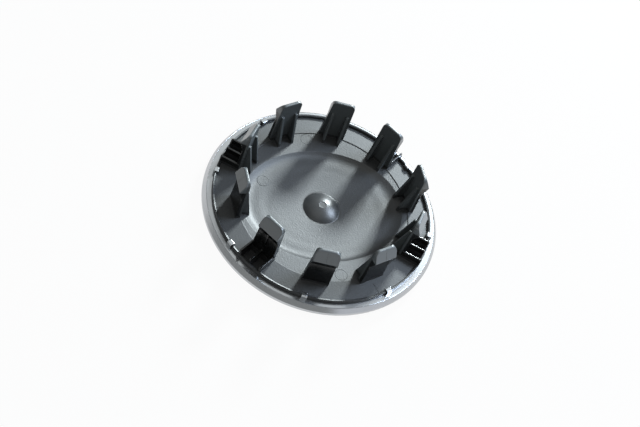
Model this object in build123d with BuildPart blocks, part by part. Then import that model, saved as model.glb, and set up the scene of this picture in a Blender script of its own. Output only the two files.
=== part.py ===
"""Wheel centre cap: a moulded clip carrier in a drawn metal cover, lying on its front face with its clips up.

Sizes are in millimetres. +Z points from the front face towards the clips, the origin is the middle of
the flat land on the front face, and +X runs along a plain clip.
"""
import os
from math import hypot, radians, tan

from build123d import *

# Ring of spring clips, which snap into the centre bore of the wheel
CLIP_COUNT = 10
BRACED_CLIPS = (1, 4, 6, 9)  # clips with webs behind the stem, counted from the one on +X
CLIP_FACE_R = 23.9  # distance of a clip's flat inner face from the axis
STEM_T = 1.4  # thickness of the stem at its foot
NECK_T = 1.2  # thickness of the stem under the hook
TOP_T = 0.85  # width of the land on top of a clip
HOOK_REACH = 1.2  # how far the hook stands out from the neck
NECK_H = 8.15  # stem, from the floor to the hook
HOOK_UNDERCUT_H = 2.7  # sloping underside of the hook
HOOK_LEAD_H = 3.2  # sloping lead-in face, from the hook's corner to the top
CLIP_TOP_W = 6.2
FOOT_FLARE = 0.55  # how much wider the foot is on each side
CLIP_CORNER_R = 1.3  # rounded corners of the top, seen along the radius
TOP_ROUND = 0.3  # rounded edges of the land on top
HOOK_ROUND = 0.3  # rounded corner of the hook

# Pair of gusset ribs on the inner face of every clip
GUSSET_T = 0.7
GUSSET_SPACING = 4.2
GUSSET_H = 9.65
GUSSET_FOOT = 2.8  # reach along the floor
GUSSET_TIP = 0.5  # small ledge at the upper end

# Three webs behind the stem of a braced clip, with sunk pockets between them
WEB_T = 0.5
WEB_H = 2.55
WEB_BITE = 0.15  # how far the webs run into the lip
STEM_RIB_REACH = 0.6  # rib that carries the middle web up to the hook
POCKET_WALL = 1.0  # wall left under the pockets
POCKET_MARGIN = 0.3  # between the pockets and the lip

# Shallow cone behind the clips, and a thin lip around it
CREASE_MARGIN = 0.1  # from the clips' inner face to the start of the cone
CREASE_STEP = 0.15  # from the floor up to the start of the cone
CONE_W = 5.7
CONE_DROP = 0.3
LIP_W = 0.6
LIP_FLAT = 0.2  # flat left on the lip's crown
LIP_H = 0.85  # inner wall of the lip, above the foot of the cone

# Drawn cover: a flat land, a gentle crown, a rounded rim, and an edge rolled in over the carrier
COVER_T = 0.8
COVER_GAP = 0.05  # between the cover and the carrier
LAND_R = 14.0
CROWN_RISE = 1.3
SIDE_H = 1.3  # side of the rim, between the crown and the bevel
RIM_R = 0.9
BEVEL_W = 0.9
BEVEL_H = 1.3
BEVEL_FOOT_R = 0.4
GROOVE_W = 0.15  # fine line between the bevel and the ledge
GROOVE_DEPTH = 0.15
LEDGE_W = 1.35
LEDGE_BELOW_LIP = 1.05

# Tabs of the cover, bent over the lip to hold the carrier
TAB_COUNT = 8
TAB_TURN = 22.5  # place of the first tab, in degrees from +X
TAB_W = 1.5
TAB_T = 0.3
TAB_SET = 0.1  # between a tab and the mouth of the rolled edge
TAB_ROOT = 0.4  # how deep a tab is rooted in that edge
TAB_DROP = 0.55  # how far its end comes down inside the lip

# Floor inside the clips, which falls gently to a sunken oval panel with a dome over the gate
FLOOR_FALL = 3.0  # slope of the floor towards the axis, in degrees
PANEL_MARGIN = 1.7  # between the ends of the panel and the clips' inner faces
PANEL_SHORT_R = 17.95
PANEL_DEPTH = 2.05  # at the centre, below the floor's outer edge
PANEL_WALL_W = 1.6
PANEL_WALL_H = 0.75
PANEL_OVERRUN = 0.1  # how far the tool for the panel runs past the floor
PANEL_DISH_STEPS = 9  # ovals that the hollow bottom is drawn through
PANEL_DISH_POWER = 1.5  # shape of the hollow bottom, between a cone at 1 and a bowl at 2
DOME_R = 5.3
DOME_H = 1.85
GATE_R = 1.0
GATE_DEPTH = 0.12

# How deep the clips and the dome are rooted in the wall
ROOT_DEPTH = 1.0

crease_r = CLIP_FACE_R + CREASE_MARGIN
lip_inner_r = crease_r + CONE_W
lip_outer_r = lip_inner_r + LIP_W
lip_edge = (LIP_W - LIP_FLAT) / 2
mouth_r = lip_outer_r + COVER_GAP
groove_r = mouth_r + LEDGE_W
bevel_r = groove_r + GROOVE_W
rim_r = bevel_r + BEVEL_W
bevel_length = hypot(BEVEL_W, BEVEL_H)
seat_wall = COVER_T + COVER_GAP
edge_z = CROWN_RISE + SIDE_H
ledge_z = edge_z + BEVEL_H
lip_z = ledge_z + LEDGE_BELOW_LIP
trough_z = lip_z - LIP_H
cone_z = trough_z + CONE_DROP
floor_z = cone_z - CREASE_STEP
floor_mid_z = floor_z - crease_r * tan(radians(FLOOR_FALL))
root_z = floor_z - ROOT_DEPTH

crown_w = rim_r - LAND_R
crown_ball_r = (crown_w**2 + CROWN_RISE**2) / (2 * CROWN_RISE)


def room_corners(wall):
    """Return the corners of the room inside the cover, a wall in from its outside.

    They are the end of the land, the foot and the top of the side, and the fold of the rolled edge.
    """
    side_r = rim_r - wall
    side_foot_z = crown_ball_r - ((crown_ball_r - wall) ** 2 - (side_r - LAND_R) ** 2) ** 0.5
    fold_z = ledge_z - wall
    fold_r = bevel_r - wall * (bevel_length - BEVEL_W) / BEVEL_H
    side_top_z = fold_z - (side_r - fold_r) * BEVEL_H / BEVEL_W
    return (LAND_R, wall), (side_r, side_foot_z), (side_r, side_top_z), (fold_r, fold_z)


seat_corners = room_corners(seat_wall)
seat_foot_r, seat_foot_z = seat_corners[1]
seat_slope = (seat_foot_z - seat_wall) / (seat_foot_r - LAND_R)
seat_at_lip = seat_wall + seat_slope * (lip_inner_r - LAND_R)
pocket_z = seat_at_lip + POCKET_WALL
web_root_z = seat_at_lip + POCKET_WALL / 2

stem_r = CLIP_FACE_R + STEM_T
stem_mid_r = CLIP_FACE_R + NECK_T / 2
neck_r = CLIP_FACE_R + NECK_T
hook_r = neck_r + HOOK_REACH
neck_z = floor_z + NECK_H
hook_z = neck_z + HOOK_UNDERCUT_H
top_z = hook_z + HOOK_LEAD_H
foot_half_w = CLIP_TOP_W / 2 + FOOT_FLARE
gusset_toe_r = CLIP_FACE_R - GUSSET_FOOT
web_place = foot_half_w - WEB_T / 2
pocket_w = lip_inner_r - POCKET_MARGIN - stem_r
pocket_mid_r = stem_r + pocket_w / 2

panel_long_r = CLIP_FACE_R - PANEL_MARGIN
panel_z = floor_z - PANEL_DEPTH
panel_edge_z = floor_z - (crease_r - PANEL_SHORT_R) * tan(radians(FLOOR_FALL))
panel_foot_z = panel_edge_z - PANEL_WALL_H
panel_foot_share = 1 - PANEL_WALL_W / PANEL_SHORT_R
panel_top_z = floor_z + PANEL_OVERRUN
panel_top_share = 1 + (panel_top_z - panel_edge_z) / PANEL_WALL_H * (1 - panel_foot_share)
panel_start_share = (DOME_R - ROOT_DEPTH) / panel_long_r
dome_top_z = panel_z + DOME_H
dome_root_z = (panel_z + seat_wall) / 2

tab_outer_r = mouth_r + TAB_SET
tab_inner_r = lip_inner_r - COVER_GAP
tab_z = lip_z + COVER_GAP
tab_turns = [Location((0, 0, 0), (0, 0, TAB_TURN + place * 360 / TAB_COUNT)) for place in range(TAB_COUNT)]

clip_turns = [Location((0, 0, 0), (0, 0, place * 360 / CLIP_COUNT)) for place in range(CLIP_COUNT)]
braced_turns = [turn for place, turn in enumerate(clip_turns) if place in BRACED_CLIPS]
plain_turns = [turn for place, turn in enumerate(clip_turns) if place not in BRACED_CLIPS]


def radial_plane(offset):
    """Return the upright plane along +X, moved sideways from the axis."""
    return Plane.XZ.offset(-offset)


def corner(sketch, radius, height):
    """Return the corner of a section sketch nearest to a radius and a height."""
    return sketch.vertices().sort_by_distance((radius, height, 0))[0]


# One tab of the cover, rising beside the lip and bent over it, on +X
with BuildPart() as tab:
    with BuildSketch(Plane.XZ) as tab_section:
        with BuildLine():
            Polyline(
                (tab_outer_r, ledge_z - TAB_ROOT),
                (tab_outer_r + TAB_T, ledge_z - TAB_ROOT),
                (tab_outer_r + TAB_T, tab_z + TAB_T),
                (tab_inner_r - TAB_T, tab_z + TAB_T),
                (tab_inner_r - TAB_T, lip_z - TAB_DROP),
                (tab_inner_r, lip_z - TAB_DROP),
                (tab_inner_r, tab_z),
                (tab_outer_r, tab_z),
                close=True,
            )
        make_face()
        fillet(corner(tab_section, tab_outer_r + TAB_T, tab_z + TAB_T), TAB_T)
        fillet(corner(tab_section, tab_inner_r - TAB_T, tab_z + TAB_T), TAB_T)
    extrude(amount=TAB_W / 2, both=True)

# Cover: the drawn front with its rolled edge, and the tabs that are bent over the lip
with BuildPart() as front_cover:
    with BuildSketch(Plane.XZ) as cover_section:
        with BuildLine():
            land = Line((0, 0), (LAND_R, 0))
            crown = TangentArc(land @ 1, (rim_r, CROWN_RISE), tangent=land % 1)
            Polyline(
                crown @ 1,
                (rim_r, edge_z),
                (bevel_r, ledge_z),
                (bevel_r, ledge_z - GROOVE_DEPTH),
                (groove_r, ledge_z - GROOVE_DEPTH),
                (groove_r, ledge_z),
                (0, ledge_z),
                land @ 0,
            )
        make_face()
        fillet(corner(cover_section, rim_r, CROWN_RISE), RIM_R)
        fillet(corner(cover_section, rim_r, edge_z), BEVEL_FOOT_R)
        with BuildLine():
            land_end, side_foot, side_top, fold = room_corners(COVER_T)
            inner_land = Line((0, COVER_T), land_end)
            inner_crown = TangentArc(land_end, side_foot, tangent=inner_land % 1)
            Polyline(
                inner_crown @ 1,
                side_top,
                fold,
                (mouth_r, ledge_z - COVER_T),
                (mouth_r, ledge_z),
                (0, ledge_z),
                inner_land @ 0,
            )
        make_face(mode=Mode.SUBTRACT)
    revolve(axis=Axis.Z)
    with Locations(*tab_turns):
        add(tab.part)

# Stem, hook and gussets of a clip, standing on +X
with BuildPart() as plain_clip:
    with BuildSketch(Plane.XZ) as clip_section:
        with BuildLine():
            Polyline(
                (CLIP_FACE_R, root_z),
                (CLIP_FACE_R, top_z),
                (CLIP_FACE_R + TOP_T, top_z),
                (hook_r, hook_z),
                (neck_r, neck_z),
                (stem_r, floor_z),
                (stem_r, root_z),
                close=True,
            )
        make_face()
        fillet(corner(clip_section, CLIP_FACE_R, top_z), TOP_ROUND)
        fillet(corner(clip_section, CLIP_FACE_R + TOP_T, top_z), TOP_ROUND)
        fillet(corner(clip_section, hook_r, hook_z), HOOK_ROUND)
    extrude(amount=foot_half_w, both=True)
    with BuildSketch(Plane.YZ) as outline:
        with BuildLine():
            Polyline(
                (-foot_half_w, root_z),
                (-CLIP_TOP_W / 2, top_z),
                (CLIP_TOP_W / 2, top_z),
                (foot_half_w, root_z),
                close=True,
            )
        make_face()
        fillet(outline.vertices().group_by(Axis.Y)[-1], CLIP_CORNER_R)
    extrude(amount=rim_r, mode=Mode.INTERSECT)
    for side in (-1, 1):
        with BuildSketch(radial_plane(side * GUSSET_SPACING / 2)):
            with BuildLine():
                Polyline(
                    (stem_r, root_z),
                    (gusset_toe_r, root_z),
                    (gusset_toe_r, floor_z),
                    (CLIP_FACE_R - GUSSET_TIP, floor_z + GUSSET_H),
                    (CLIP_FACE_R, floor_z + GUSSET_H),
                    (stem_r, floor_z),
                    close=True,
                )
            make_face()
        extrude(amount=GUSSET_T / 2, both=True)

# The same clip with three webs behind its stem, the middle one carried up to the hook
with BuildPart() as braced_clip:
    add(plain_clip.part)
    for place in (-web_place, 0, web_place):
        with BuildSketch(radial_plane(place)):
            with BuildLine():
                Polyline(
                    (stem_mid_r, web_root_z),
                    (lip_inner_r + WEB_BITE, web_root_z),
                    (lip_inner_r + WEB_BITE, floor_z + WEB_H),
                    (stem_mid_r, floor_z + WEB_H),
                    close=True,
                )
            make_face()
        extrude(amount=WEB_T / 2, both=True)
    with BuildSketch(Plane.XZ):
        with BuildLine():
            Polyline(
                (stem_mid_r, floor_z),
                (neck_r + STEM_RIB_REACH, floor_z),
                (neck_r + STEM_RIB_REACH, hook_z),
                (stem_mid_r, hook_z),
                close=True,
            )
        make_face()
    extrude(amount=WEB_T / 2, both=True)

# Oval tool for the sunken panel: a hollow bottom, from under the dome out to a low sloping wall
with BuildPart() as panel_tool:
    for step in range(PANEL_DISH_STEPS):
        share = panel_start_share + (panel_foot_share - panel_start_share) * step / (PANEL_DISH_STEPS - 1)
        rise = (panel_foot_z - panel_z) * (share / panel_foot_share) ** PANEL_DISH_POWER
        with BuildSketch(Plane.XY.offset(panel_z + rise)):
            Ellipse(panel_long_r * share, PANEL_SHORT_R * share)
    for share, height in ((1, panel_edge_z), (panel_top_share, panel_top_z)):
        with BuildSketch(Plane.XY.offset(height)):
            Ellipse(panel_long_r * share, PANEL_SHORT_R * share)
    loft()

# Clip carrier: the revolved body, its panel and dome, the pockets and the ring of clips
with BuildPart() as cap_body:
    with BuildSketch(Plane.XZ) as section:
        with BuildLine():
            Polyline(
                (0, seat_wall),
                *seat_corners,
                (lip_outer_r, ledge_z - seat_wall),
                (lip_outer_r, lip_z),
                (lip_inner_r, lip_z),
                (lip_inner_r, trough_z),
                (crease_r, cone_z),
                (crease_r, floor_z),
                (0, floor_mid_z),
                close=True,
            )
        make_face()
        chamfer(corner(section, lip_outer_r, lip_z), lip_edge)
        chamfer(corner(section, lip_inner_r, lip_z), lip_edge)
    revolve(axis=Axis.Z)

    add(panel_tool.part, mode=Mode.SUBTRACT)

    with BuildSketch(Plane.XZ):
        with BuildLine():
            dome = TangentArc((0, dome_top_z), (DOME_R, panel_z), tangent=(1, 0))
            Polyline(dome @ 1, (DOME_R, dome_root_z), (0, dome_root_z), dome @ 0)
        make_face()
    revolve(axis=Axis.Z)
    with Locations((0, 0, dome_top_z)):
        Cylinder(GATE_R, 2 * GATE_DEPTH, mode=Mode.SUBTRACT)

    with Locations(*braced_turns):
        with Locations((pocket_mid_r, 0, lip_z)):
            Box(pocket_w, 2 * web_place, 2 * (lip_z - pocket_z), mode=Mode.SUBTRACT)
    with Locations(*braced_turns):
        add(braced_clip.part)
    with Locations(*plain_turns):
        add(plain_clip.part)

cap_body.part.label = "cap_body"
front_cover.part.label = "front_cover"
os.makedirs("parts", exist_ok=True)
export_step(cap_body.part, "parts/cap_body.step")
export_step(front_cover.part, "parts/front_cover.step")
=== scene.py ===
"""Looks of a wheel centre cap that lies on its front face, with its ring of spring clips up.

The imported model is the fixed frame, in metres, with +Z up. The clip carrier is a dark moulding and the
cover around it is drawn metal with a silver coat. Both nodes keep their own mesh and get their finish
here. The fine marks that the mould leaves and the sloping crown of the lip ride on the carrier as thin
pieces.
"""

import logging
from dataclasses import dataclass, field
from enum import Enum
from math import cos, pi, radians, sin

import bmesh
import bpy
from mathutils import Matrix, Vector
from mathutils.bvhtree import BVHTree


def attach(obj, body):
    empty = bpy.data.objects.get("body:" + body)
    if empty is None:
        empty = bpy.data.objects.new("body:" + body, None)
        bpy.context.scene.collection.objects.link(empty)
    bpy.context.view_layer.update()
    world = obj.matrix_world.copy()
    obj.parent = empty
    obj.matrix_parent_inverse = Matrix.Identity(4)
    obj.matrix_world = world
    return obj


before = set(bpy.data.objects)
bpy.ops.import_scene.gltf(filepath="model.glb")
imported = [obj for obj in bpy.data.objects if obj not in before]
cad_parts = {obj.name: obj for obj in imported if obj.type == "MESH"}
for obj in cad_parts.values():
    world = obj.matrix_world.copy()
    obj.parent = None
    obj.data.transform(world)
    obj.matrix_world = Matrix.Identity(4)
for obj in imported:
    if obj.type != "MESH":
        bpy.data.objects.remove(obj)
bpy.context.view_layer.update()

log = logging.getLogger("wheel_centre_cap")

MM = 0.001  # metres in a millimetre
BODY = "root"
CARRIER = "cap_body"
COVER = "front_cover"

# Corners of a ridge across its path, in millimetres: distance to the left, and height above the ground.
Section = tuple[tuple[float, float], ...]


def linear(colour: str) -> tuple[float, float, float, float]:
    """Turn an sRGB hex colour into linear light, by the sRGB standard's own curve.

    Args:
        colour: six hex digits, such as "3c3e3f".

    Returns:
        Red, green, blue and an alpha of one.
    """
    parts = [int(colour[place:place + 2], 16) / 255 for place in (0, 2, 4)]
    red, green, blue = (
        part / 12.92 if part <= 0.04045 else ((part + 0.055) / 1.055) ** 2.4 for part in parts
    )
    return red, green, blue, 1.0


def add_node(
    tree: bpy.types.NodeTree, kind: str, settings: dict[str, object] | None = None, **links: object,
) -> bpy.types.Node:
    """Add one node with its settings, and fill or link its inputs.

    Args:
        tree: the node tree that gets the node.
        kind: the node's Blender type.
        settings: properties of the node itself, such as its operation.
        links: input values or output sockets, by input name with _ for a space, or i0, i1 for a number.

    Returns:
        The new node.
    """
    node = tree.nodes.new(kind)
    for name, value in (settings or {}).items():
        setattr(node, name, value)
    for name, value in links.items():
        by_number = name[0] == "i" and name[1:].isdigit()
        socket = node.inputs[int(name[1:])] if by_number else node.inputs[name.replace("_", " ")]
        if isinstance(value, bpy.types.NodeSocket):
            tree.links.new(value, socket)
        else:
            socket.default_value = value
    return node


class LightRole(Enum):
    """What a lamp does in the studio."""

    KEY = "key_lamp"
    SIDE = "side_lamp"
    FILL = "fill_lamp"
    RIM = "rim_lamp"


@dataclass(frozen=True)
class Lamp:
    """One square lamp of the studio, with its direction in degrees from +X and above the horizon."""

    role: LightRole
    azimuth: float
    elevation: float
    watts: float
    size_m: float
    colour: str


@dataclass(frozen=True)
class CarrierZones:
    """Sockets that tell where on the carrier a shaded point lies."""

    place: bpy.types.NodeSocket
    radius: bpy.types.NodeSocket
    height: bpy.types.NodeSocket
    clip: bpy.types.NodeSocket  # one on the clips, zero below them
    behind: bpy.types.NodeSocket  # one beyond the clips' inner faces, zero nearer the axis


@dataclass(frozen=True)
class MouldedPolyamide:
    """Glass-filled polyamide, injection moulded in a spark-eroded steel tool.

    The eroded tool gives the dark floor a satin grain that glitters in low light, and leaves the cone
    behind the clips duller. The clips, the dome and the lip come from polished parts of the tool and are
    smoother, and the clips are glossiest on their outer sides. Painted shade darkens the clips' outer
    sides, painted light makes their inner faces paler, and a painted highlight makes the upper part of
    their outer sides, with the lead-in faces, palest.
    """

    colour: str = "252627"
    colour_pale: str = "2c2e2f"
    # painted highlight on the upper part of the clips' outer sides and their lead-in faces
    colour_painted_highlight: str = "5e6264"
    # painted light: the clips' inner faces are made paler
    colour_clip_face_painted_light: str = "464a4b"
    # painted shade: the clips' outer sides are made near black
    colour_clip_back_painted_shade: str = "101111"
    roughness: float = 0.48
    cone_roughness: float = 0.6
    clip_roughness: float = 0.36
    clip_back_roughness: float = 0.18
    dome_roughness: float = 0.34
    lip_roughness: float = 0.38
    ior: float = 1.53
    grain_mm: float = 0.42  # the real grain is about 0.1 mm, drawn coarser to show in the render
    grain_height_mm: float = 0.045
    grain_octaves: float = 2.0
    grain_octave_share: float = 0.6
    floor_grain: float = 1.0
    polished_grain: float = 0.25  # share of the floor's grain on the clips, the dome and the lip
    cloud_mm: float = 9.0
    cloud_octaves: float = 3.0
    dome_r_mm: float = 5.3
    cone_r_mm: float = 23.9
    lip_r_mm: float = 29.4
    clip_z_mm: float = 5.0
    # height above which the clips' outer sides get the painted highlight
    painted_highlight_z_mm: float = 14.8
    clip_back_r_mm: float = 24.5
    blend_mm: float = 0.3  # width over which one zone changes into the next
    edge_mm: float = 0.25
    lip_edge_mm: float = 0.06
    edge_samples: int = 8

    def find_zones(self, tree: bpy.types.NodeTree) -> CarrierZones:
        """Work out where on the carrier a shaded point lies.

        Args:
            tree: the material's node tree.

        Returns:
            The sockets that hold the answers.
        """
        place = add_node(tree, "ShaderNodeTexCoord").outputs["Object"]
        flat = add_node(
            tree, "ShaderNodeVectorMath", {"operation": "MULTIPLY"}, i0=place, i1=(1.0, 1.0, 0.0),
        ).outputs["Vector"]
        radius = add_node(
            tree, "ShaderNodeVectorMath", {"operation": "LENGTH"}, i0=flat,
        ).outputs["Value"]
        height = add_node(tree, "ShaderNodeSeparateXYZ", Vector=place).outputs["Z"]
        clip = add_node(
            tree, "ShaderNodeMapRange", Value=height,
            From_Min=self.clip_z_mm * MM, From_Max=(self.clip_z_mm + self.blend_mm) * MM,
        ).outputs["Result"]
        behind = add_node(
            tree, "ShaderNodeMapRange", Value=radius,
            From_Min=self.clip_back_r_mm * MM, From_Max=(self.clip_back_r_mm + self.blend_mm) * MM,
        ).outputs["Result"]
        return CarrierZones(place, radius, height, clip, behind)

    def tint(self, tree: bpy.types.NodeTree, zones: CarrierZones) -> bpy.types.NodeSocket:
        """Colour the plastic, faintly clouded, with painted shade, painted light and a painted highlight
        on the clips.

        Args:
            tree: the material's node tree.
            zones: where on the carrier a shaded point lies.

        Returns:
            The socket of the colour.
        """
        cloud = add_node(
            tree, "ShaderNodeTexNoise", Vector=zones.place, Scale=1 / (self.cloud_mm * MM),
            Detail=self.cloud_octaves,
        )
        # painted shade on the clips' outer sides
        back = add_node(
            tree, "ShaderNodeMath", {"operation": "MULTIPLY"}, i0=zones.clip, i1=zones.behind,
        )
        # painted light on the clips' inner faces, below the clip tops
        painted_light_face = add_node(
            tree, "ShaderNodeMath", {"operation": "SUBTRACT", "use_clamp": True},
            i0=zones.clip, i1=zones.behind,
        )
        # painted highlight: the clips' outer sides above a height are made paler
        high = add_node(
            tree, "ShaderNodeMapRange", Value=zones.height,
            From_Min=self.painted_highlight_z_mm * MM, From_Max=(self.painted_highlight_z_mm + self.blend_mm) * MM,
        )
        painted_highlight = add_node(
            tree, "ShaderNodeMath", {"operation": "MULTIPLY"}, i0=high.outputs["Result"], i1=zones.behind,
        )
        colour = linear(self.colour)
        for share, tone in (
            (cloud.outputs["Fac"], self.colour_pale),
            (back.outputs["Value"], self.colour_clip_back_painted_shade),
            (painted_light_face.outputs["Value"], self.colour_clip_face_painted_light),
            (painted_highlight.outputs["Value"], self.colour_painted_highlight),
        ):
            colour = add_node(
                tree, "ShaderNodeMix", {"data_type": "RGBA"}, i0=share, i6=colour, i7=linear(tone),
            ).outputs[2]
        return colour

    def gloss(self, tree: bpy.types.NodeTree, zones: CarrierZones) -> bpy.types.NodeSocket:
        """Make the dome, the floor, the cone, the lip and the clips as rough as each is.

        Args:
            tree: the material's node tree.
            zones: where on the carrier a shaded point lies.

        Returns:
            The socket of the roughness.
        """
        roughness = self.dome_roughness
        for start_mm, beyond, change in (
            (self.dome_r_mm, self.roughness, "SMOOTHSTEP"),
            (self.cone_r_mm, self.cone_roughness, "LINEAR"),
            (self.lip_r_mm, self.lip_roughness, "LINEAR"),
        ):
            roughness = add_node(
                tree, "ShaderNodeMapRange", {"interpolation_type": change}, Value=zones.radius,
                From_Min=start_mm * MM, From_Max=(start_mm + self.blend_mm) * MM,
                To_Min=roughness, To_Max=beyond,
            ).outputs["Result"]
        clip = add_node(
            tree, "ShaderNodeMapRange", Value=zones.behind,
            To_Min=self.clip_roughness, To_Max=self.clip_back_roughness,
        )
        return add_node(
            tree, "ShaderNodeMix", {"data_type": "FLOAT"}, i0=zones.clip, i2=roughness,
            i3=clip.outputs["Result"],
        ).outputs[0]

    def relief(self, tree: bpy.types.NodeTree, zones: CarrierZones) -> bpy.types.NodeSocket:
        """Raise the grain, fainter on the polished parts, over softly rounded edges.

        Args:
            tree: the material's node tree.
            zones: where on the carrier a shaded point lies.

        Returns:
            The socket of the normal.
        """
        share = self.polished_grain
        for start_mm, beyond in (
            (self.dome_r_mm, self.floor_grain),
            (self.lip_r_mm, self.polished_grain),
        ):
            share = add_node(
                tree, "ShaderNodeMapRange", Value=zones.radius,
                From_Min=start_mm * MM, From_Max=(start_mm + self.blend_mm) * MM,
                To_Min=share, To_Max=beyond,
            ).outputs["Result"]
        strength = add_node(
            tree, "ShaderNodeMapRange", Value=zones.clip, To_Min=share, To_Max=self.polished_grain,
        )
        grain = add_node(
            tree, "ShaderNodeTexNoise", Vector=zones.place, Scale=1 / (self.grain_mm * MM),
            Detail=self.grain_octaves, Roughness=self.grain_octave_share,
        )
        rounding = add_node(
            tree, "ShaderNodeMapRange", Value=zones.radius,
            From_Min=self.lip_r_mm * MM, From_Max=(self.lip_r_mm + self.blend_mm) * MM,
            To_Min=self.edge_mm * MM, To_Max=self.lip_edge_mm * MM,
        )
        edge = add_node(
            tree, "ShaderNodeBevel", {"samples": self.edge_samples}, Radius=rounding.outputs["Result"],
        )
        return add_node(
            tree, "ShaderNodeBump", Height=grain.outputs["Fac"], Normal=edge.outputs["Normal"],
            Strength=strength.outputs["Result"], Distance=self.grain_height_mm * MM,
        ).outputs["Normal"]

    def build(self) -> bpy.types.Material:
        """Make the material, with its zones found by their place on the cap.

        Returns:
            The new material.
        """
        material = bpy.data.materials.new("moulded_glass_filled_polyamide")
        material.use_nodes = True
        tree = material.node_tree
        shader = tree.nodes["Principled BSDF"]
        shader.inputs["IOR"].default_value = self.ior
        zones = self.find_zones(tree)
        tree.links.new(self.tint(tree, zones), shader.inputs["Base Color"])
        tree.links.new(self.gloss(tree, zones), shader.inputs["Roughness"])
        tree.links.new(self.relief(tree, zones), shader.inputs["Normal"])
        return material


@dataclass(frozen=True)
class SilverCoat:
    """Silver base coat sprayed on drawn aluminium sheet.

    Fine aluminium flake in the coat gives an even, soft metal shine, with a faint cloudiness from the
    spray gun and a very slight orange peel.
    """

    colour: str = "c3c5c8"
    colour_dull: str = "b4b7ba"
    metallic: float = 1.0
    roughness: float = 0.18
    roughness_dull: float = 0.25
    cloud_mm: float = 6.0
    cloud_octaves: float = 3.0
    peel_mm: float = 0.8
    peel_height_mm: float = 0.003
    peel_octaves: float = 1.0
    edge_mm: float = 0.04
    edge_samples: int = 6

    def build(self) -> bpy.types.Material:
        """Make the material.

        Returns:
            The new material.
        """
        material = bpy.data.materials.new("silver_coat_on_drawn_aluminium")
        material.use_nodes = True
        tree = material.node_tree
        shader = tree.nodes["Principled BSDF"]
        shader.inputs["Metallic"].default_value = self.metallic

        place = add_node(tree, "ShaderNodeTexCoord").outputs["Object"]
        cloud = add_node(
            tree, "ShaderNodeTexNoise", Vector=place, Scale=1 / (self.cloud_mm * MM),
            Detail=self.cloud_octaves,
        ).outputs["Fac"]
        peel = add_node(
            tree, "ShaderNodeTexNoise", Vector=place, Scale=1 / (self.peel_mm * MM),
            Detail=self.peel_octaves,
        )
        tone = add_node(
            tree, "ShaderNodeMix", {"data_type": "RGBA"}, i0=cloud, i6=linear(self.colour),
            i7=linear(self.colour_dull),
        )
        gloss = add_node(
            tree, "ShaderNodeMapRange", Value=cloud, To_Min=self.roughness, To_Max=self.roughness_dull,
        )
        edge = add_node(
            tree, "ShaderNodeBevel", {"samples": self.edge_samples}, Radius=self.edge_mm * MM,
        )
        bump = add_node(
            tree, "ShaderNodeBump", Height=peel.outputs["Fac"], Normal=edge.outputs["Normal"],
            Distance=self.peel_height_mm * MM,
        )
        tree.links.new(tone.outputs[2], shader.inputs["Base Color"])
        tree.links.new(gloss.outputs["Result"], shader.inputs["Roughness"])
        tree.links.new(bump.outputs["Normal"], shader.inputs["Normal"])
        return material


@dataclass
class FrontCover:
    """The drawn metal cover with its rolled edge and tabs, which is the CAD node as it is."""

    finish: SilverCoat = field(default_factory=SilverCoat)

    def dress(self) -> None:
        """Give the CAD node its finish."""
        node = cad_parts[COVER]
        node.data.materials.clear()
        node.data.materials.append(self.finish.build())
        log.info("dressed %s", node.name)


@dataclass(frozen=True)
class Ridge:
    """One thin ridge to lay on the carrier, with its path seen from above, in millimetres."""

    name: str
    path: list[Vector]
    section: Section
    closed: bool = False  # whether the path runs round to its first point


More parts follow.
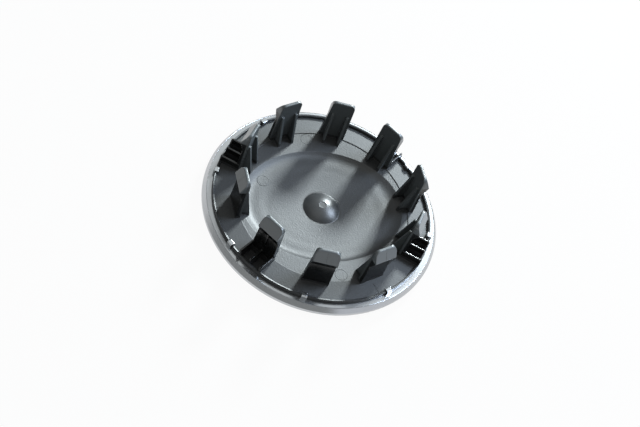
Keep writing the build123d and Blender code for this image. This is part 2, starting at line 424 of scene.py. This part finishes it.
@dataclass
class ClipCarrier:
    """The moulded clip carrier, which is the CAD node, with its mould marks and its lip's crown on top.

    The marks are the round edges of the ejector pins on the floor, and the parting lines on the lead-in
    faces of the plain clips and on the cone behind them. The crown of the lip slopes down to the inside,
    in one stretch between each two of the cover's tabs.
    """

    finish: MouldedPolyamide = field(default_factory=MouldedPolyamide)
    pin_places_mm: tuple[tuple[float, float], ...] = (
        (0.0, 22.0), (0.0, -22.0), (-14.9, 8.95), (-14.9, -8.95),
    )
    pin_r_mm: float = 1.65
    pin_steps: int = 64
    mark_w_mm: float = 0.16
    mark_h_mm: float = 0.035
    mark_sunk_mm: float = 0.05
    plain_clip_turns: tuple[float, ...] = (0.0, 72.0, 108.0, 180.0, 252.0, 288.0)
    lead_in_mm: tuple[float, float] = (24.9, 26.2)
    cone_mm: tuple[float, float] = (26.5, 29.6)
    line_steps: int = 8
    crown_r_mm: float = 30.0
    crown_section_mm: Section = (
        (0.12, -0.15), (0.12, 0.0), (-0.23, 0.065), (-0.28, 0.02), (-0.28, -0.15),
    )  # left of the path is towards the axis
    crown_steps: int = 32
    tab_count: int = 8
    tab_turn: float = 22.5  # direction of the first tab from +X, in degrees
    tab_clear: float = 2.2  # degrees left free at each side of a tab's middle
    probe_height_m: float = 1.0  # well above the cap, where the search for the ground starts

    def dress(self) -> None:
        """Give the CAD node its finish and lay the ridges on it."""
        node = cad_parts[CARRIER]
        node.data.materials.clear()
        node.data.materials.append(self.finish.build())
        log.info("dressed %s", node.name)
        surface = BVHTree.FromObject(node, bpy.context.evaluated_depsgraph_get())
        for ridge in self.ridges():
            self.lay(ridge, node, surface)

    def ridges(self) -> list[Ridge]:
        """List the ridges that the carrier gets.

        Returns:
            The marks of the ejector pins, the parting lines and the stretches of the lip's crown.
        """
        half = self.mark_w_mm / 2
        mark = (
            (-half, -self.mark_sunk_mm), (-half, 0.0), (-half / 2, self.mark_h_mm),
            (half / 2, self.mark_h_mm), (half, 0.0), (half, -self.mark_sunk_mm),
        )
        ridges = []
        for number, (x, y) in enumerate(self.pin_places_mm):
            ridges.append(Ridge(f"ejector_pin_mark_{number}", self.pin_path(x, y), mark, closed=True))
        for turn in self.plain_clip_turns:
            for part, span in (("lead_in", self.lead_in_mm), ("cone", self.cone_mm)):
                ridges.append(Ridge(f"parting_line_{part}_{turn:.0f}", self.radial_path(turn, span), mark))
        for number in range(self.tab_count):
            ridges.append(Ridge(f"lip_crown_{number}", self.crown_path(number), self.crown_section_mm))
        return ridges

    def pin_path(self, x: float, y: float) -> list[Vector]:
        """Return the points of a pin's round edge, seen from above, in millimetres.

        Args:
            x: place of the pin's middle along X.
            y: place of the pin's middle along Y.

        Returns:
            Points round the circle, without the first one again at the end.
        """
        turns = (2 * pi * step / self.pin_steps for step in range(self.pin_steps))
        return [
            Vector((x + self.pin_r_mm * cos(turn), y + self.pin_r_mm * sin(turn))) for turn in turns
        ]

    def radial_path(self, turn: float, span: tuple[float, float]) -> list[Vector]:
        """Return points along a radius, seen from above, in millimetres.

        Args:
            turn: direction of the radius from +X, in degrees.
            span: its first and last distance from the axis.

        Returns:
            Points from the first distance to the last.
        """
        start, end = span
        along = Vector((cos(radians(turn)), sin(radians(turn))))
        return [
            along * (start + (end - start) * step / self.line_steps)
            for step in range(self.line_steps + 1)
        ]

    def crown_path(self, number: int) -> list[Vector]:
        """Return the points of the lip's crown from one tab to the next, seen from above.

        Args:
            number: which of the tabs the stretch starts at.

        Returns:
            Points along the arc, counter-clockwise, in millimetres.
        """
        pitch = 360 / self.tab_count
        start = self.tab_turn + pitch * number + self.tab_clear
        span = pitch - 2 * self.tab_clear
        turns = (radians(start + span * step / self.crown_steps) for step in range(self.crown_steps + 1))
        return [Vector((cos(turn), sin(turn))) * self.crown_r_mm for turn in turns]

    def ground_under(self, point: Vector, node: bpy.types.Object, surface: BVHTree) -> float:
        """Find how high the carrier's upper side is at a point seen from above.

        Args:
            point: the point, in millimetres.
            node: the carrier's CAD node.
            surface: the node's surface, in its own frame.

        Returns:
            The height in the scene, in metres.
        """
        into = node.matrix_world.inverted()
        start = into @ Vector((point.x * MM, point.y * MM, self.probe_height_m))
        down = into.to_3x3() @ Vector((0.0, 0.0, -1.0))
        hit = surface.ray_cast(start, down)[0]
        return (node.matrix_world @ hit).z

    def lay(self, ridge: Ridge, node: bpy.types.Object, surface: BVHTree) -> None:
        """Lay one ridge on the carrier's upper side, in the carrier's own material.

        Args:
            ridge: the ridge's name, path and section.
            node: the carrier's CAD node.
            surface: the node's surface, in its own frame.
        """
        mesh = bmesh.new()
        rows = []
        count = len(ridge.path)
        for place, point in enumerate(ridge.path):
            before = ridge.path[place - 1] if ridge.closed or place else point
            after = ridge.path[(place + 1) % count] if ridge.closed or place + 1 < count else point
            along = (after - before).normalized()
            left = Vector((-along.y, along.x))
            ground = self.ground_under(point, node, surface)
            row = []
            for offset, lift in ridge.section:
                spot = point + left * offset
                row.append(mesh.verts.new((spot.x * MM, spot.y * MM, ground + lift * MM)))
            rows.append(row)
        pairs = list(zip(rows, rows[1:]))
        if ridge.closed:
            pairs.append((rows[-1], rows[0]))
        else:
            mesh.faces.new(rows[0])
            mesh.faces.new(reversed(rows[-1]))
        corners = len(ridge.section)
        for first, second in pairs:
            for corner in range(corners):
                follow = (corner + 1) % corners
                mesh.faces.new((first[corner], first[follow], second[follow], second[corner]))
        bmesh.ops.recalc_face_normals(mesh, faces=mesh.faces)
        data = bpy.data.meshes.new(ridge.name)
        mesh.to_mesh(data)
        mesh.free()
        data.materials.append(node.data.materials[0])
        piece = bpy.data.objects.new(ridge.name, data)
        bpy.context.scene.collection.objects.link(piece)
        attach(piece, BODY)
        log.info("laid %s", ridge.name)


@dataclass
class Studio:
    """Pale floor, soft lamps and the camera at the photograph's viewing angle, with angles in degrees."""

    camera_turn: float = -33.448  # direction of the picture's level line from +X, before the roll
    camera_elevation: float = 51.916
    camera_roll: float = 25.762
    camera_distance_mm: float = 300.0
    target_mm: tuple[float, float, float] = (-0.800, -1.727, 2.4)
    lens_mm: float = 62.69
    sensor_mm: float = 36.0
    near_clip_m: float = 0.01
    floor_m: float = 4.0
    floor_colour: str = "909090"
    floor_roughness: float = 0.9
    floor_white: float = 0.95  # share of plain white in the floor, the rest shows the shadows
    white: str = "ffffff"
    sky_colour: str = "f0f3f2"
    sky_azimuth: float = 50.0
    sky_elevation: float = 72.0
    sky_dim: float = 0.38
    sky_bright: float = 0.8
    sky_from: float = 0.6  # cosine of the angle from the sky's bright side at which it is still dim
    sky_to: float = 0.95  # cosine of the angle inside which it is brightest
    lamp_distance_m: float = 0.6
    lamps: tuple[Lamp, ...] = (
        Lamp(LightRole.KEY, azimuth=46.0, elevation=29.5, watts=8.0, size_m=0.1, colour="f1fcff"),
        Lamp(LightRole.SIDE, azimuth=5.0, elevation=45.0, watts=4.2, size_m=0.26, colour="d8e9ff"),
        Lamp(LightRole.FILL, azimuth=215.0, elevation=78.0, watts=0.25, size_m=0.4, colour="fffffa"),
        Lamp(LightRole.RIM, azimuth=302.0, elevation=10.0, watts=0.4, size_m=0.5, colour="f2f5ff"),
    )

    @staticmethod
    def towards(azimuth: float, elevation: float) -> Vector:
        """Return the direction at an azimuth from +X and an elevation, in degrees."""
        turn, rise = radians(azimuth), radians(elevation)
        return Vector((cos(turn) * cos(rise), sin(turn) * cos(rise), sin(rise)))

    def build_floor(self) -> None:
        """Lay the pale floor that the cap lies on, near white to the eye and in reflections."""
        half = self.floor_m / 2
        mesh = bpy.data.meshes.new("studio_floor")
        corners = [(-half, -half, 0), (half, -half, 0), (half, half, 0), (-half, half, 0)]
        mesh.from_pydata(corners, [], [(0, 1, 2, 3)])
        floor = bpy.data.objects.new("studio_floor", mesh)
        bpy.context.scene.collection.objects.link(floor)
        material = bpy.data.materials.new("matt_white_floor")
        material.use_nodes = True
        tree = material.node_tree
        shader = tree.nodes["Principled BSDF"]
        shader.inputs["Base Color"].default_value = linear(self.floor_colour)
        shader.inputs["Roughness"].default_value = self.floor_roughness
        rays = add_node(tree, "ShaderNodeLightPath").outputs
        mirrored = add_node(
            tree, "ShaderNodeMath", {"operation": "MAXIMUM"},
            i0=rays["Is Glossy Ray"], i1=rays["Is Transmission Ray"],
        )
        seen = add_node(
            tree, "ShaderNodeMath", {"operation": "MAXIMUM"},
            i0=rays["Is Camera Ray"], i1=mirrored.outputs["Value"],
        )
        share = add_node(
            tree, "ShaderNodeMath", {"operation": "MULTIPLY"},
            i0=seen.outputs["Value"], i1=self.floor_white,
        )
        white = add_node(tree, "ShaderNodeEmission", Color=linear(self.white))
        mixed = add_node(
            tree, "ShaderNodeMixShader", i0=share.outputs["Value"], i1=shader.outputs["BSDF"],
            i2=white.outputs["Emission"],
        )
        tree.links.new(mixed.outputs["Shader"], tree.nodes["Material Output"].inputs["Surface"])
        mesh.materials.append(material)

    def build_sky(self) -> None:
        """Surround the cap with soft light, brightest high up behind it and dim on the camera's side."""
        world = bpy.data.worlds.new("studio_surroundings")
        bpy.context.scene.world = world
        world.use_nodes = True
        tree = world.node_tree
        back = tree.nodes["Background"]
        back.inputs["Color"].default_value = linear(self.sky_colour)
        direction = add_node(tree, "ShaderNodeTexCoord").outputs["Generated"]
        facing = add_node(
            tree, "ShaderNodeVectorMath", {"operation": "DOT_PRODUCT"}, i0=direction,
            i1=self.towards(self.sky_azimuth, self.sky_elevation),
        )
        level = add_node(
            tree, "ShaderNodeMapRange", {"interpolation_type": "SMOOTHSTEP"},
            Value=facing.outputs["Value"], From_Min=self.sky_from, From_Max=self.sky_to,
            To_Min=self.sky_dim, To_Max=self.sky_bright,
        )
        tree.links.new(level.outputs["Result"], back.inputs["Strength"])

    def add_lamp(self, lamp: Lamp) -> None:
        """Hang one square lamp that points at the cap.

        Args:
            lamp: the lamp's role, direction, power, size and colour.
        """
        light = bpy.data.lights.new(lamp.role.value, "AREA")
        light.energy = lamp.watts
        light.size = lamp.size_m
        light.color = linear(lamp.colour)[:3]
        direction = self.towards(lamp.azimuth, lamp.elevation)
        holder = bpy.data.objects.new(lamp.role.value, light)
        holder.location = direction * self.lamp_distance_m
        holder.rotation_euler = direction.to_track_quat("Z", "Y").to_euler()
        bpy.context.scene.collection.objects.link(holder)

    def build_camera(self) -> None:
        """Place the camera, rolled as the photograph is."""
        turn, rise = radians(self.camera_turn), radians(self.camera_elevation)
        right = Vector((cos(turn), sin(turn), 0))
        back = Vector((sin(turn) * cos(rise), -cos(turn) * cos(rise), sin(rise)))
        up = back.cross(right)
        level = Matrix((right, up, back)).transposed()
        data = bpy.data.cameras.new("photograph_camera")
        data.sensor_fit = "HORIZONTAL"
        data.sensor_width = self.sensor_mm
        data.lens = self.lens_mm
        data.clip_start = self.near_clip_m
        camera = bpy.data.objects.new("photograph_camera", data)
        place = (Vector(self.target_mm) + back * self.camera_distance_mm) * MM
        turned = level @ Matrix.Rotation(radians(self.camera_roll), 3, "Z")
        camera.matrix_world = Matrix.Translation(place) @ turned.to_4x4()
        bpy.context.scene.collection.objects.link(camera)
        bpy.context.scene.camera = camera

    def build(self) -> None:
        """Set up the whole studio."""
        bpy.context.scene.view_settings.view_transform = "Standard"
        self.build_floor()
        self.build_sky()
        for lamp in self.lamps:
            self.add_lamp(lamp)
        self.build_camera()
        log.info("built the studio")


def main() -> None:
    """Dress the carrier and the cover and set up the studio."""
    logging.basicConfig(level=logging.INFO)
    ClipCarrier().dress()
    FrontCover().dress()
    Studio().build()


if __name__ == "__main__":
    main()
